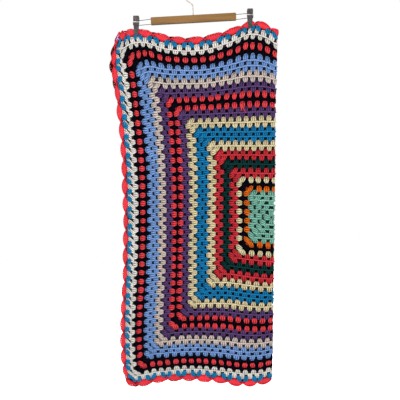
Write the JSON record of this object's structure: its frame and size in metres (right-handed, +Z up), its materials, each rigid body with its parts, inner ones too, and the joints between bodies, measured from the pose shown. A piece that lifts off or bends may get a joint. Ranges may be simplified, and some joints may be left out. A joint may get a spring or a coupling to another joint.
{
  "type": "afghan blanket on a clip hanger",
  "caption": "Square crocheted granny afghan with a scalloped edging, folded in half and clipped by its top edge to a wooden bar hanger with a wire hook.",
  "frame": {"origin": "inside top of the hook's arch, where it rests on a rail", "axes": "+Z up, -Y towards the side that shows, +X towards the afghan's folded edge"},
  "size_m": [0.5351, 0.0623, 1.2598],
  "materials": {
    "rainbow_yarn": "matt wool-like acrylic yarn in many colours",
    "coral_yarn": "matt wool-like acrylic yarn",
    "oak": "satin varnish",
    "steel": "plated"
  },
  "bodies": {
    "root": {"afghan": "rainbow_yarn", "edging": "coral_yarn", "hanger_bar": "oak", "hook": "steel", "clip_wire_left": "steel", "clip_wire_right": "steel", "clip_left_front": "steel", "clip_left_back": "steel", "clip_left_spring": "steel", "clip_right_front": "steel", "clip_right_back": "steel", "clip_right_spring": "steel"}
  },
  "joints": []
}
